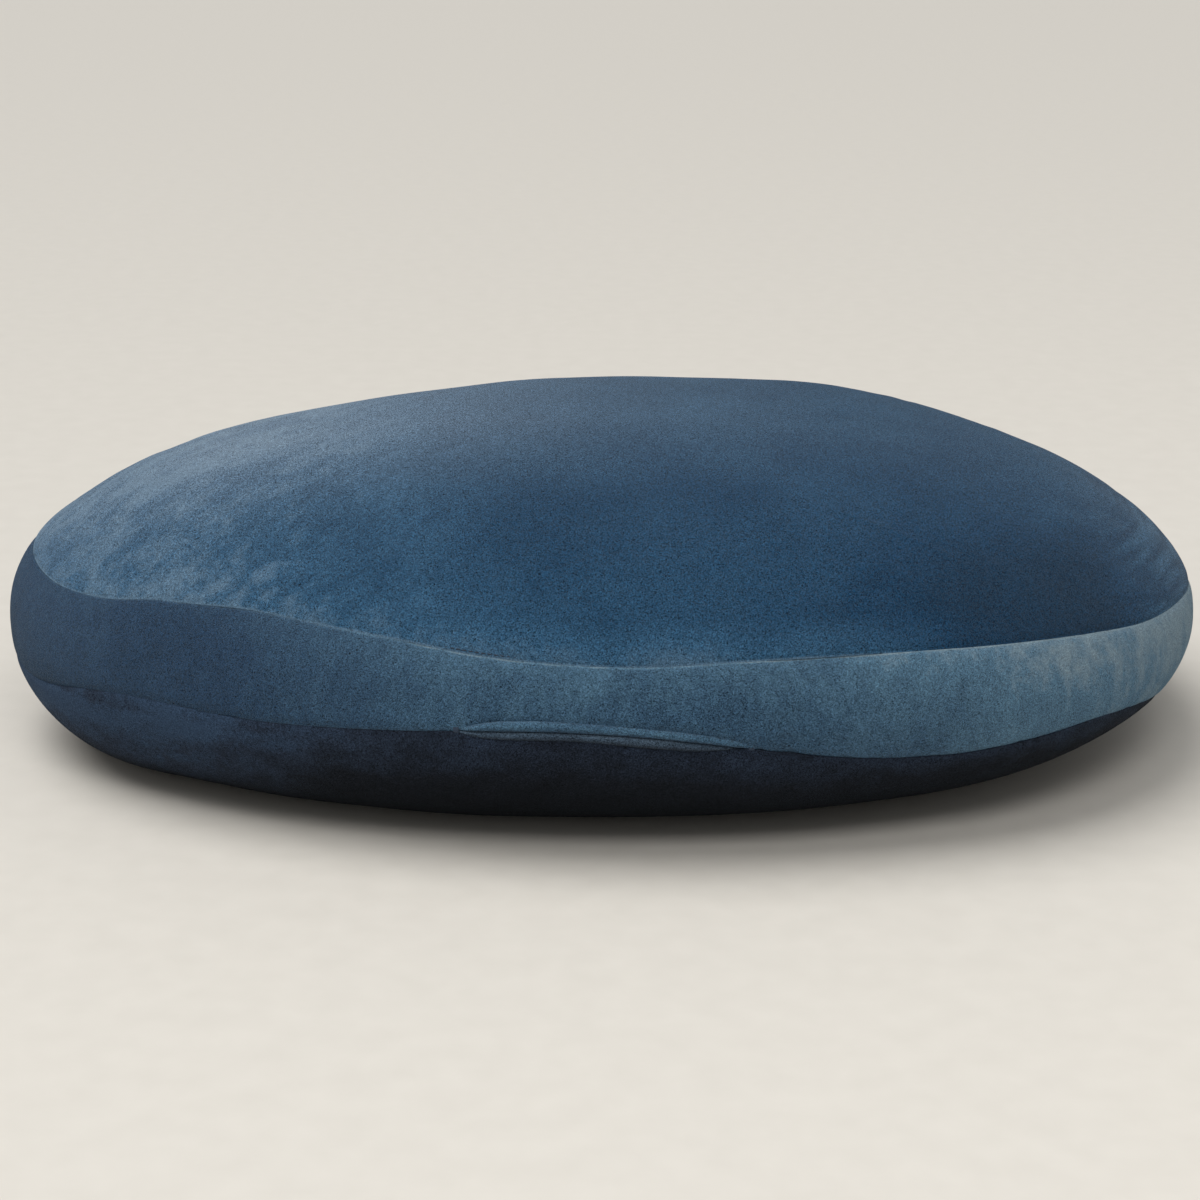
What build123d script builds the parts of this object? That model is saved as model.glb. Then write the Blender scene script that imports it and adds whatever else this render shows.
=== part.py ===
from build123d import *
from functools import cache
import math
import os

# A pebble-shaped floor cushion with a sewn cover, a short concealed zip and a bead-filled inner bag.
# Millimetres. The floor is z = 0, the zip faces -Y and the long way of the cushion is X.

# ---- plan outline: three round corners joined by three long side arcs ----
LEFT_CORNER = (-120.0, -13.6, 154.0)  # centre x, centre y, radius
RIGHT_CORNER = (85.0, -5.6, 189.0)
BACK_CORNER = (146.0, 118.4, 72.0)
FRONT_SIDE_RADIUS = 415.0
RIGHT_SIDE_RADIUS = 395.0
BACK_SIDE_RADIUS = 410.0

# ---- side profile: a dome above the widest level, a tuck-under below it ----
HEIGHT = 144.5
WIDEST_LEVEL = 57.0
DOME_ACROSS = 2.07  # superellipse powers of the dome
DOME_UP = 2.37
APEX_SHIFT = (-1.0, 14.0)
FLOOR_SCALE = 0.66  # contact patch, as a share of the plan
FLOOR_SHIFT = (-36.0, 8.0)
TUCK_POWER = 2.2
DOME_STEP = 14  # degrees between dome sections
DOME_LAST = 84
TUCK_STEP = 15

# ---- cover ----
TOP_SEAM = 83.0
LOWER_SEAM_FRONT = 56.0  # the lower seam falls from the front to the back
LOWER_SEAM_BACK = 40.0
WALL = 2.4  # pile and backing together
ALLOWANCE_GAP = 0.1
ALLOWANCE_CLOTH = 1.0
ALLOWANCE_DEPTH = 8.0
ALLOWANCE_ROOT = 1.2
THREAD_GAP = 0.1
THREAD_WIDTH = 0.8
CLOSING_SEAM_X = -20.0
CLOSING_SEAM_WIDTH = 0.8

# ---- inner bag ----
BAG_GAP = 3.0
BAG_CLOTH = 0.8
FILL_GAP = 0.3
BAG_SEAM = 58.0
BAG_THREAD = 0.6

# ---- zip: pieces swept about the front side's centre, radii counted from the cover's face ----
ZIP_LEVEL = LOWER_SEAM_FRONT
ZIP_LENGTH = 118.6
ZIP_CENTRE_X = 0.0
SLOT_HALF = 3.0
SLIT_HALF = 0.15
LIP_BACK = -3.4
LIP_FRONT_UPPER = 1.0
LIP_FRONT_LOWER = 0.8
LIP_ROUND = 1.1
FACING_CLOTH = 0.8
FACING_STEP = 0.8
FACING_RISE = 7.0
FACING_LEAN_UPPER = -0.8
FACING_LEAN_LOWER = 0.2
TAPE_PLACE = -8.0
TAPE_CLOTH = 0.6
COIL_INNER = 0.6
COIL_WIDTH = 1.6
COIL_THICK = 1.7
COIL_ROUND = 0.5
BARTACK_LENGTH = 1.5
BARTACK_PROUD = 1.0
TAPE_OVERRUN = 8.0
COIL_END_GAP = 3.0
STOP_LENGTH = 2.0
STOP_GAP = 0.4
STITCH = 0.6
SLIDER_LENGTH = 9.5
SLIDER_HALF_WIDTH = 3.9
SLIDER_FRONT = -5.6
SLIDER_BACK = -10.4
SLIDER_PLATE = 0.8
SLIDER_NECK_HALF = 0.45
SLIDER_NECK_LENGTH = 3.0
SLIDER_EDGE = 0.6
SLIDER_LUG_HALF = 0.6
SLIDER_LUG_RISE = 1.0
SLIDER_STOP_GAP = 1.5
POCKET_DEPTH = 11.4
POCKET_HALF = 13.0
POCKET_OVERRUN = 13.0
REACH = 30.0  # cuts run this far past the cushion

# ---- care label ----
LABEL_LOW = 47.0
LABEL_HIGH = 62.0
LABEL_LENGTH = 25.0
LABEL_START = 78.0  # along the front, from the zip's middle
LABEL_PLACE = -4.4
LABEL_CLOTH = 0.3


def arc_centre(first, second, side_radius):
    """Centre of the long side that touches two corner circles from outside their centres."""
    reach_first = side_radius - first[2]
    reach_second = side_radius - second[2]
    start = Vector(first[0], first[1])
    along = Vector(second[0], second[1]) - start
    gap = along.length
    along = along.normalized()
    forward = (reach_first**2 - reach_second**2 + gap**2) / (2 * gap)
    sideways = math.sqrt(reach_first**2 - forward**2)
    return start + along * forward + Vector(-along.Y, along.X) * sideways


FRONT_CENTRE = arc_centre(LEFT_CORNER, RIGHT_CORNER, FRONT_SIDE_RADIUS)
RIGHT_CENTRE = arc_centre(RIGHT_CORNER, BACK_CORNER, RIGHT_SIDE_RADIUS)
BACK_CENTRE = arc_centre(BACK_CORNER, LEFT_CORNER, BACK_SIDE_RADIUS)
FRONT_REACH = FRONT_SIDE_RADIUS - FRONT_CENTRE.Y


def heading(start, end):
    """Direction in degrees from one plan point to another."""
    return math.degrees(math.atan2(end[1] - start[1], end[0] - start[0]))


def plan_arcs():
    """The outline's six arcs, anticlockwise from the left corner: centre, radius, start, sweep."""
    front, right, back = tuple(FRONT_CENTRE), tuple(RIGHT_CENTRE), tuple(BACK_CENTRE)
    turns = [
        heading(back, LEFT_CORNER),
        heading(front, LEFT_CORNER),
        heading(front, RIGHT_CORNER),
        heading(right, RIGHT_CORNER),
        heading(right, BACK_CORNER),
        heading(back, BACK_CORNER),
    ]
    circles = [
        LEFT_CORNER,
        (*front[:2], FRONT_SIDE_RADIUS),
        RIGHT_CORNER,
        (*right[:2], RIGHT_SIDE_RADIUS),
        BACK_CORNER,
        (*back[:2], BACK_SIDE_RADIUS),
    ]
    sweeps = [(turns[(n + 1) % 6] - turns[n]) % 360 for n in range(6)]
    return list(zip(circles, turns, sweeps))


def profile():
    """Level, plan scale and plan shift of each section, from the floor to the apex."""
    sections = []
    for angle in range(90, 0, -TUCK_STEP):
        down = math.sin(math.radians(angle))
        tuck = 1 - math.sqrt(1 - down**TUCK_POWER)
        scale = 1 - (1 - FLOOR_SCALE) * tuck
        shift = (FLOOR_SHIFT[0] * tuck, FLOOR_SHIFT[1] * tuck)
        sections.append((WIDEST_LEVEL * (1 - down), scale, shift))
    for angle in range(0, DOME_LAST + 1, DOME_STEP):
        up = math.sin(math.radians(angle))
        scale = (1 - up**DOME_UP) ** (1 / DOME_ACROSS)
        shift = (APEX_SHIFT[0] * up, APEX_SHIFT[1] * up)
        sections.append((WIDEST_LEVEL + (HEIGHT - WIDEST_LEVEL) * up, scale, shift))
    return sections


def lofted(sections, inset):
    """A closed body through the given sections, each `inset` inside the outer surface."""
    top = profile()[-1][0]
    with BuildPart() as body:
        for level, scale, shift in sections:
            height = inset + level / top * (HEIGHT - 2 * inset)
            with BuildSketch(Plane.XY.offset(height)):
                with BuildLine():
                    for (x, y, radius), start, sweep in plan_arcs():
                        middle = (x * scale + shift[0], y * scale + shift[1])
                        CenterArc(middle, (radius - inset) * scale, start, sweep)
                make_face()
        loft()
    return body.part


@cache
def cushion_body(inset):
    """The cushion's shape, lying `inset` inside the outer surface: a tuck-under and a dome."""
    sections = profile()
    widest = 90 // TUCK_STEP
    tuck = lofted(sections[: widest + 1], inset)
    dome = lofted(sections[widest:], inset)
    return tuck + dome


def level(height):
    """A level plane."""
    return Plane.XY.offset(height)


SEAM_FALL = math.atan2(LOWER_SEAM_FRONT - LOWER_SEAM_BACK, 2 * FRONT_REACH)


def lower_seam(rise=0.0):
    """The plane of the lower seam, or one parallel to it."""
    middle = (LOWER_SEAM_FRONT + LOWER_SEAM_BACK) / 2
    upward = (0, math.sin(SEAM_FALL), math.cos(SEAM_FALL))
    return Plane(origin=(0, 0, middle), x_dir=(1, 0, 0), z_dir=upward).offset(rise)


def layer(outside, inside, low, high):
    """The part between two nested surfaces and two planes."""
    with BuildPart() as piece:
        add(cushion_body(outside))
        split(bisect_by=low, keep=Keep.TOP)
        split(bisect_by=high, keep=Keep.BOTTOM)
        add(cushion_body(inside), mode=Mode.SUBTRACT)
    return piece.part


# ---- zip frame ----
ZIP_FACE = FRONT_SIDE_RADIUS
ZIP_BEARING = math.degrees(math.asin((ZIP_CENTRE_X - FRONT_CENTRE.X) / ZIP_FACE))


def turn_of(length):
    """Angle in degrees that a length along the zip takes."""
    return math.degrees(length / ZIP_FACE)


def zip_plane(along):
    """Upright plane across the zip: local x is the radius from the face, local y the height."""
    direction = math.radians(-90 + ZIP_BEARING + turn_of(along))
    outward = Vector(math.cos(direction), math.sin(direction), 0)
    origin = FRONT_CENTRE + outward * ZIP_FACE
    return Plane(origin=origin, x_dir=outward, z_dir=outward.cross(Vector(0, 0, 1)))


ZIP_AXIS = Axis(tuple(FRONT_CENTRE), (0, 0, 1))


def zip_bar(inner, outer, low, high, start, end, rounding=0):
    """A rectangular bar swept along the zip from `start` to `end`."""
    with BuildPart() as bar:
        with BuildSketch(zip_plane(start)) as section:
            with Locations(((inner + outer) / 2, (low + high) / 2)):
                Rectangle(outer - inner, high - low)
            if rounding:
                fillet(section.vertices(), rounding)
        revolve(axis=ZIP_AXIS, revolution_arc=turn_of(end - start))
    return bar.part


HALF_SLOT = ZIP_LENGTH / 2
SLOT_LOW = ZIP_LEVEL - SLOT_HALF
SLOT_HIGH = ZIP_LEVEL + SLOT_HALF
OUTSIDE = cushion_body(0)
INSIDE = cushion_body(WALL)
SLOT = zip_bar(-REACH, REACH, SLOT_LOW, SLOT_HIGH, -HALF_SLOT, HALF_SLOT)
with BuildPart() as closing_cut:
    with BuildSketch():
        with Locations((CLOSING_SEAM_X, BACK_SIDE_RADIUS / 2)):
            Rectangle(CLOSING_SEAM_WIDTH, BACK_SIDE_RADIUS)
    extrude(amount=TOP_SEAM)

# ---- top panel, with its allowance turned down inside the band ----
ALLOWANCE_OUT = WALL + ALLOWANCE_GAP
ALLOWANCE_IN = ALLOWANCE_OUT + ALLOWANCE_CLOTH
ALLOWANCE_TOP = TOP_SEAM + ALLOWANCE_ROOT
top_allowance = layer(
    ALLOWANCE_OUT, ALLOWANCE_IN, level(TOP_SEAM - ALLOWANCE_DEPTH), level(ALLOWANCE_TOP)
)
top_allowance_root = layer(
    WALL - ALLOWANCE_GAP, ALLOWANCE_IN, level(TOP_SEAM), level(ALLOWANCE_TOP)
)
with BuildPart() as cover_top_panel:
    add(OUTSIDE)
    add(INSIDE, mode=Mode.SUBTRACT)
    split(bisect_by=level(TOP_SEAM), keep=Keep.TOP)
    add(top_allowance_root)
    add(top_allowance)

# ---- side band, with its ends meeting at the closing seam ----
with BuildPart() as cover_side_band:
    add(OUTSIDE)
    split(bisect_by=lower_seam(), keep=Keep.TOP)
    split(bisect_by=level(TOP_SEAM), keep=Keep.BOTTOM)
    add(INSIDE, mode=Mode.SUBTRACT)
    add(SLOT, mode=Mode.SUBTRACT)
    add(closing_cut.part, mode=Mode.SUBTRACT)

# ---- bottom panel ----
with BuildPart() as cover_bottom_panel:
    add(OUTSIDE)
    split(bisect_by=lower_seam(), keep=Keep.BOTTOM)
    add(INSIDE, mode=Mode.SUBTRACT)
    add(SLOT, mode=Mode.SUBTRACT)

# ---- cover seam threads, inside the cover ----
HALF_THREAD = THREAD_WIDTH / 2
TOP_THREAD_PLACE = ALLOWANCE_IN + THREAD_GAP
LOWER_THREAD_PLACE = WALL + THREAD_GAP
top_thread_ring = layer(
    TOP_THREAD_PLACE,
    TOP_THREAD_PLACE + THREAD_WIDTH,
    level(TOP_SEAM - HALF_THREAD),
    level(TOP_SEAM + HALF_THREAD),
)
lower_thread_ring = layer(
    LOWER_THREAD_PLACE,
    LOWER_THREAD_PLACE + THREAD_WIDTH,
    lower_seam(-HALF_THREAD),
    lower_seam(HALF_THREAD),
)
band_layer = layer(0, WALL, lower_seam(), level(TOP_SEAM))
with BuildPart() as top_seam_thread:
    add(top_thread_ring)

with BuildPart() as lower_seam_thread:
    add(lower_thread_ring)
    add(SLOT, mode=Mode.SUBTRACT)

with BuildPart() as band_closing_thread:
    add(band_layer)
    add(closing_cut.part, mode=Mode.INTERSECT)

# ---- zip lips: folded cloth edges with a facing behind the cover ----
LIP_START = BARTACK_LENGTH - HALF_SLOT
LIP_END = HALF_SLOT - BARTACK_LENGTH
FACING_BACK = LIP_BACK - FACING_CLOTH


def zip_lip(side, lip_front, lean):
    """A lip above (side 1) or below (side -1) the slit, with its facing."""
    near = ZIP_LEVEL + side * SLIT_HALF
    far = ZIP_LEVEL + side * SLOT_HALF
    tip = far + side * FACING_RISE
    roll = zip_bar(LIP_BACK, lip_front, min(near, far), max(near, far), LIP_START, LIP_END)
    rims = roll.edges().filter_by(GeomType.CIRCLE).sort_by(SortBy.RADIUS)[-2:]
    rounded_roll = fillet(rims, LIP_ROUND)
    with BuildPart() as lip:
        with BuildSketch(zip_plane(LIP_START)):
            with BuildLine():
                Polyline(
                    (LIP_BACK, near + side * SLIT_HALF),
                    (LIP_BACK, far - side * FACING_STEP),
                    (LIP_BACK - FACING_STEP, far),
                    (LIP_BACK - FACING_STEP + lean, tip),
                    (FACING_BACK - FACING_STEP + lean, tip),
                    (FACING_BACK - FACING_STEP, far),
                    (FACING_BACK, far - side * FACING_STEP),
                    (FACING_BACK, near + side * SLIT_HALF),
                    close=True,
                )
            make_face()
        revolve(axis=ZIP_AXIS, revolution_arc=turn_of(LIP_END - LIP_START))
        add(rounded_roll)
    return lip


zip_lip_upper = zip_lip(1, LIP_FRONT_UPPER, FACING_LEAN_UPPER)
zip_lip_lower = zip_lip(-1, LIP_FRONT_LOWER, FACING_LEAN_LOWER)

# ---- zip tapes and coils ----
COIL_OUTER = COIL_INNER + COIL_WIDTH
TAPE_STRAIGHT = 4.5
TAPE_REACH = 10.5
TAPE_LEAN_UPPER = 1.6
TAPE_LEAN_LOWER = 2.2
TAPE_END = HALF_SLOT + TAPE_OVERRUN
COIL_END = HALF_SLOT - COIL_END_GAP


def zip_tape(side, lean):
    """A woven tape that runs straight behind the slider and then leans to the cover."""
    front = TAPE_PLACE + TAPE_CLOTH / 2
    back = TAPE_PLACE - TAPE_CLOTH / 2
    start = ZIP_LEVEL + side * COIL_OUTER
    bend = ZIP_LEVEL + side * TAPE_STRAIGHT
    tip = ZIP_LEVEL + side * TAPE_REACH
    with BuildPart() as tape:
        with BuildSketch(zip_plane(-TAPE_END)):
            with BuildLine():
                Polyline(
                    (front, start),
                    (front, bend),
                    (front + lean, tip),
                    (back + lean, tip),
                    (back, bend),
                    (back, start),
                    close=True,
                )
            make_face()
        revolve(axis=ZIP_AXIS, revolution_arc=turn_of(2 * TAPE_END))
    return tape


def zip_coil(side):
    """One row of coil, as a plain bar along the tape's edge."""
    low = ZIP_LEVEL + min(side * COIL_INNER, side * COIL_OUTER)
    inner = TAPE_PLACE - COIL_THICK / 2
    bar = zip_bar(inner, inner + COIL_THICK, low, low + COIL_WIDTH, -COIL_END, COIL_END, COIL_ROUND)
    with BuildPart() as coil:
        add(bar)
    return coil


zip_tape_upper = zip_tape(1, TAPE_LEAN_UPPER)
zip_tape_lower = zip_tape(-1, TAPE_LEAN_LOWER)
zip_coil_upper = zip_coil(1)
zip_coil_lower = zip_coil(-1)

# ---- stops: one across both rows where the zip opens to, one on each row where it closes ----
STOP_INNER = TAPE_PLACE - COIL_THICK / 2 - STOP_GAP / 2
STOP_OUTER = TAPE_PLACE + COIL_THICK / 2 + STOP_GAP / 2
STOP_START = COIL_END + STOP_GAP
STOP_END = STOP_START + STOP_LENGTH
bottom_stop_bar = zip_bar(
    STOP_INNER,
    STOP_OUTER,
    ZIP_LEVEL - COIL_OUTER,
    ZIP_LEVEL + COIL_OUTER,
    -STOP_END,
    -STOP_START,
)
top_stop_high = zip_bar(
    STOP_INNER, STOP_OUTER, ZIP_LEVEL + COIL_INNER, ZIP_LEVEL + COIL_OUTER, STOP_START, STOP_END
)
top_stop_low = zip_bar(
    STOP_INNER, STOP_OUTER, ZIP_LEVEL - COIL_OUTER, ZIP_LEVEL - COIL_INNER, STOP_START, STOP_END
)
with BuildPart() as zip_bottom_stop:
    add(bottom_stop_bar)

with BuildPart() as zip_top_stops:
    add(top_stop_high)
    add(top_stop_low)

# ---- bar tacks that close the slot's two ends ----
bartack_left_bar = zip_bar(FACING_BACK, BARTACK_PROUD, SLOT_LOW, SLOT_HIGH, -HALF_SLOT, LIP_START)
bartack_right_bar = zip_bar(FACING_BACK, BARTACK_PROUD, SLOT_LOW, SLOT_HIGH, LIP_END, HALF_SLOT)
with BuildPart() as zip_bartack_left:
    add(bartack_left_bar)

with BuildPart() as zip_bartack_right:
    add(bartack_right_bar)

# ---- stitching behind each tape ----
STITCH_UPPER_PLACE = -7.85
STITCH_UPPER_LEVEL = 64.0
STITCH_LOWER_PLACE = -7.55
STITCH_LOWER_LEVEL = 48.0


def zip_stitching(place, level):
    """The line of thread that holds a tape to its facing."""
    half = STITCH / 2
    bar = zip_bar(place - half, place + half, level - half, level + half, -TAPE_END, TAPE_END)
    with BuildPart() as stitching:
        add(bar)
    return stitching


zip_stitching_upper = zip_stitching(STITCH_UPPER_PLACE, STITCH_UPPER_LEVEL)
zip_stitching_lower = zip_stitching(STITCH_LOWER_PLACE, STITCH_LOWER_LEVEL)

# ---- slider, shown closed against the top stops ----
SLIDER_END = STOP_START - SLIDER_STOP_GAP
SLIDER_START = SLIDER_END - SLIDER_LENGTH
NECK_START = SLIDER_END - SLIDER_NECK_LENGTH
FRONT_PLATE = SLIDER_FRONT - SLIDER_PLATE
BACK_PLATE = SLIDER_BACK + SLIDER_PLATE
SLIDER_LOW = ZIP_LEVEL - SLIDER_HALF_WIDTH
SLIDER_HIGH = ZIP_LEVEL + SLIDER_HALF_WIDTH
slider_bars = [
    zip_bar(FRONT_PLATE, SLIDER_FRONT, SLIDER_LOW, SLIDER_HIGH, SLIDER_START, SLIDER_END),
    zip_bar(SLIDER_BACK, BACK_PLATE, SLIDER_LOW, SLIDER_HIGH, SLIDER_START, SLIDER_END),
    zip_bar(
        BACK_PLATE,
        FRONT_PLATE,
        ZIP_LEVEL - SLIDER_NECK_HALF,
        ZIP_LEVEL + SLIDER_NECK_HALF,
        NECK_START,
        SLIDER_END,
    ),
    zip_bar(
        SLIDER_FRONT,
        SLIDER_FRONT + SLIDER_LUG_RISE,
        ZIP_LEVEL - SLIDER_LUG_HALF,
        ZIP_LEVEL + SLIDER_LUG_HALF,
        SLIDER_START + SLIDER_NECK_LENGTH,
        NECK_START,
    ),
]
for edge_low in (SLIDER_LOW, SLIDER_HIGH - SLIDER_EDGE):
    edge_high = edge_low + SLIDER_EDGE
    for plate, rim in ((FRONT_PLATE - SLIDER_PLATE, FRONT_PLATE), (BACK_PLATE, BACK_PLATE + SLIDER_PLATE)):
        slider_bars.append(zip_bar(plate, rim, edge_low, edge_high, SLIDER_START, SLIDER_END))
with BuildPart() as zip_slider:
    for slider_bar in slider_bars:
        add(slider_bar)

# ---- care label, sewn inside beside the zip ----
label_bar = zip_bar(
    LABEL_PLACE,
    LABEL_PLACE + LABEL_CLOTH,
    LABEL_LOW,
    LABEL_HIGH,
    LABEL_START,
    LABEL_START + LABEL_LENGTH,
)
with BuildPart() as care_label:
    add(label_bar)

# ---- inner bag and filling, dished behind the zip ----
BAG_OUT = WALL + BAG_GAP
BAG_IN = BAG_OUT + BAG_CLOTH
FILL_OUT = BAG_IN + FILL_GAP


def zip_pocket(margin):
    """The space kept free behind the zip, grown by `margin`."""
    end = HALF_SLOT + POCKET_OVERRUN + margin
    half = POCKET_HALF + margin
    return zip_bar(-POCKET_DEPTH - margin, REACH, ZIP_LEVEL - half, ZIP_LEVEL + half, -end, end)


bag_outside = cushion_body(BAG_OUT)
bag_inside = cushion_body(BAG_IN) - zip_pocket(BAG_CLOTH)
bag_pocket = zip_pocket(0)
fill_pocket = zip_pocket(BAG_CLOTH + FILL_GAP)
bag_thread = layer(
    BAG_OUT - BAG_THREAD, BAG_OUT, level(BAG_SEAM - BAG_THREAD / 2), level(BAG_SEAM + BAG_THREAD / 2)
)

with BuildPart() as inner_bag_top:
    add(bag_outside)
    add(bag_pocket, mode=Mode.SUBTRACT)
    add(bag_inside, mode=Mode.SUBTRACT)
    split(bisect_by=level(BAG_SEAM), keep=Keep.TOP)

with BuildPart() as inner_bag_bottom:
    add(bag_outside)
    add(bag_pocket, mode=Mode.SUBTRACT)
    add(bag_inside, mode=Mode.SUBTRACT)
    split(bisect_by=level(BAG_SEAM), keep=Keep.BOTTOM)

with BuildPart() as inner_bag_seam_thread:
    add(bag_thread)

with BuildPart() as bead_fill:
    add(cushion_body(FILL_OUT))
    add(fill_pocket, mode=Mode.SUBTRACT)

PIECES = {
    "cover_top_panel": cover_top_panel,
    "cover_side_band": cover_side_band,
    "cover_bottom_panel": cover_bottom_panel,
    "top_seam_thread": top_seam_thread,
    "lower_seam_thread": lower_seam_thread,
    "band_closing_thread": band_closing_thread,
    "zip_lip_upper": zip_lip_upper,
    "zip_lip_lower": zip_lip_lower,
    "zip_tape_upper": zip_tape_upper,
    "zip_tape_lower": zip_tape_lower,
    "zip_coil_upper": zip_coil_upper,
    "zip_coil_lower": zip_coil_lower,
    "zip_bottom_stop": zip_bottom_stop,
    "zip_top_stops": zip_top_stops,
    "zip_bartack_left": zip_bartack_left,
    "zip_bartack_right": zip_bartack_right,
    "zip_stitching_upper": zip_stitching_upper,
    "zip_stitching_lower": zip_stitching_lower,
    "zip_slider": zip_slider,
    "care_label": care_label,
    "inner_bag_top": inner_bag_top,
    "inner_bag_bottom": inner_bag_bottom,
    "inner_bag_seam_thread": inner_bag_seam_thread,
    "bead_fill": bead_fill,
}

os.makedirs("parts", exist_ok=True)
for name, piece in PIECES.items():
    piece.part.label = name
    export_step(piece.part, f"parts/{name}.step")

slider_travel = SLIDER_START - (-STOP_START + SLIDER_STOP_GAP)
print("slider axis", FRONT_CENTRE, "travel mm", slider_travel, "degrees", turn_of(slider_travel))
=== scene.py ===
import math

import bpy
import numpy as np
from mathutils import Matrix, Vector, kdtree


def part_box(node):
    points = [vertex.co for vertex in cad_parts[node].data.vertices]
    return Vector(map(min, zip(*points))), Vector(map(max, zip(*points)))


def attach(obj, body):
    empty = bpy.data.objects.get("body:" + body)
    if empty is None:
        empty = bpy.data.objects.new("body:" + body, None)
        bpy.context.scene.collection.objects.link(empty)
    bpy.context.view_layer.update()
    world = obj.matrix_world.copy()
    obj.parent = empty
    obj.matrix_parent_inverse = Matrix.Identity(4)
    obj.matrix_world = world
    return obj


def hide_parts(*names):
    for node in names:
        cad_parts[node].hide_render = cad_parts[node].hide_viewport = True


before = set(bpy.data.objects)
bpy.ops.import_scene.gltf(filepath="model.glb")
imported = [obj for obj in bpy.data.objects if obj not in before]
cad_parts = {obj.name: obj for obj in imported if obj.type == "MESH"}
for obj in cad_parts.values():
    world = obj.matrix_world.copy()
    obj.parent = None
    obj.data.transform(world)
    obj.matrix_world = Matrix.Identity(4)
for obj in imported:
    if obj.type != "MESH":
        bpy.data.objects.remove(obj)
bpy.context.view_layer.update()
MM = 0.001

# ---- the cushion's shape: the CAD's plan, a slightly fuller dome, another tuck-under in front ----
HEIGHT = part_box("cover_top_panel")[1].z - 1.3 * MM  # the simulation raises the crown again
LEFT_CORNER = (-0.120, -0.0136, 0.154)  # centre x, centre y, radius
RIGHT_CORNER = (0.085, -0.0056, 0.189)
BACK_CORNER = (0.146, 0.1184, 0.072)
FRONT_SIDE_RADIUS = 0.415
RIGHT_SIDE_RADIUS = 0.395
BACK_SIDE_RADIUS = 0.410
WIDEST_LEVEL = 0.057
DOME_ACROSS = 2.07
DOME_UP = 2.43
APEX_SHIFT = np.array((-0.001, 0.014))
FLOOR_SCALE = 0.66
FLOOR_SHIFT = np.array((-0.036, 0.008))
FLOOR_INSET = (0.092, 0.036, 0.012)  # mean, more to the right, more to the back
TUCK_POWER = 2.2
FRONT_TUCK_FROM, FRONT_TUCK_OVER = 0.45, 0.6  # the inset takes over below this Y of the normal
CLOTH = 2.2 * MM

# ---- mesh fineness ----
AROUND = 960
TOP_ROWS = 96
BAND_ROWS = 34
BOTTOM_ROWS = 46
FLOOR_ROWS = 16
OUTLINE_SAMPLES = 8000
CROWDING = 1.6  # power that draws a panel's rows towards its seam
EVEN_SHARE = 0.35  # how much of the band's rows' spacing is even


def arc_centre(first, second, radius):
    """Centre of the long side that touches two corner circles."""
    reach_first = radius - first[2]
    reach_second = radius - second[2]
    start = np.array(first[:2])
    along = np.array(second[:2]) - start
    gap = np.linalg.norm(along)
    along = along / gap
    forward = (reach_first**2 - reach_second**2 + gap**2) / (2 * gap)
    sideways = math.sqrt(reach_first**2 - forward**2)
    return start + along * forward + np.array((-along[1], along[0])) * sideways


FRONT_CENTRE = arc_centre(LEFT_CORNER, RIGHT_CORNER, FRONT_SIDE_RADIUS)
RIGHT_CENTRE = arc_centre(RIGHT_CORNER, BACK_CORNER, RIGHT_SIDE_RADIUS)
BACK_CENTRE = arc_centre(BACK_CORNER, LEFT_CORNER, BACK_SIDE_RADIUS)


def heading(start, end):
    return math.atan2(end[1] - start[1], end[0] - start[0])


def plan(turn):
    """Points of the plan outline where its outward normal points along `turn`."""
    arcs = (
        (heading(BACK_CENTRE, LEFT_CORNER), LEFT_CORNER[:2], LEFT_CORNER[2]),
        (heading(FRONT_CENTRE, LEFT_CORNER), FRONT_CENTRE, FRONT_SIDE_RADIUS),
        (heading(FRONT_CENTRE, RIGHT_CORNER), RIGHT_CORNER[:2], RIGHT_CORNER[2]),
        (heading(RIGHT_CENTRE, RIGHT_CORNER), RIGHT_CENTRE, RIGHT_SIDE_RADIUS),
        (heading(RIGHT_CENTRE, BACK_CORNER), BACK_CORNER[:2], BACK_CORNER[2]),
        (heading(BACK_CENTRE, BACK_CORNER), BACK_CENTRE, BACK_SIDE_RADIUS),
    )
    turn = np.asarray(turn) % math.tau
    points = np.zeros(turn.shape + (2,))
    for n, (start, centre, radius) in enumerate(arcs):
        sweep = (arcs[(n + 1) % len(arcs)][0] - start) % math.tau
        here = ((turn - start) % math.tau) <= sweep
        spoke = np.stack((np.cos(turn[here]), np.sin(turn[here])), -1)
        points[here] = np.array(centre) + radius * spoke
    return points


def tucked_under(turn, outline, tuck):
    """The outline drawn in towards the floor: along its normal in front, as a whole at the back."""
    normal = np.stack((np.cos(turn), np.sin(turn)), -1)
    mean, rightward, backward = FLOOR_INSET
    inset = mean + rightward * normal[..., 0] + backward * normal[..., 1]
    front = smooth(np.clip((FRONT_TUCK_FROM - normal[..., 1]) / FRONT_TUCK_OVER, 0, 1))[..., None]
    whole = (1 - FLOOR_SCALE) * outline - FLOOR_SHIFT
    return outline - tuck[..., None] * (front * inset[..., None] * normal + (1 - front) * whole)


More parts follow.
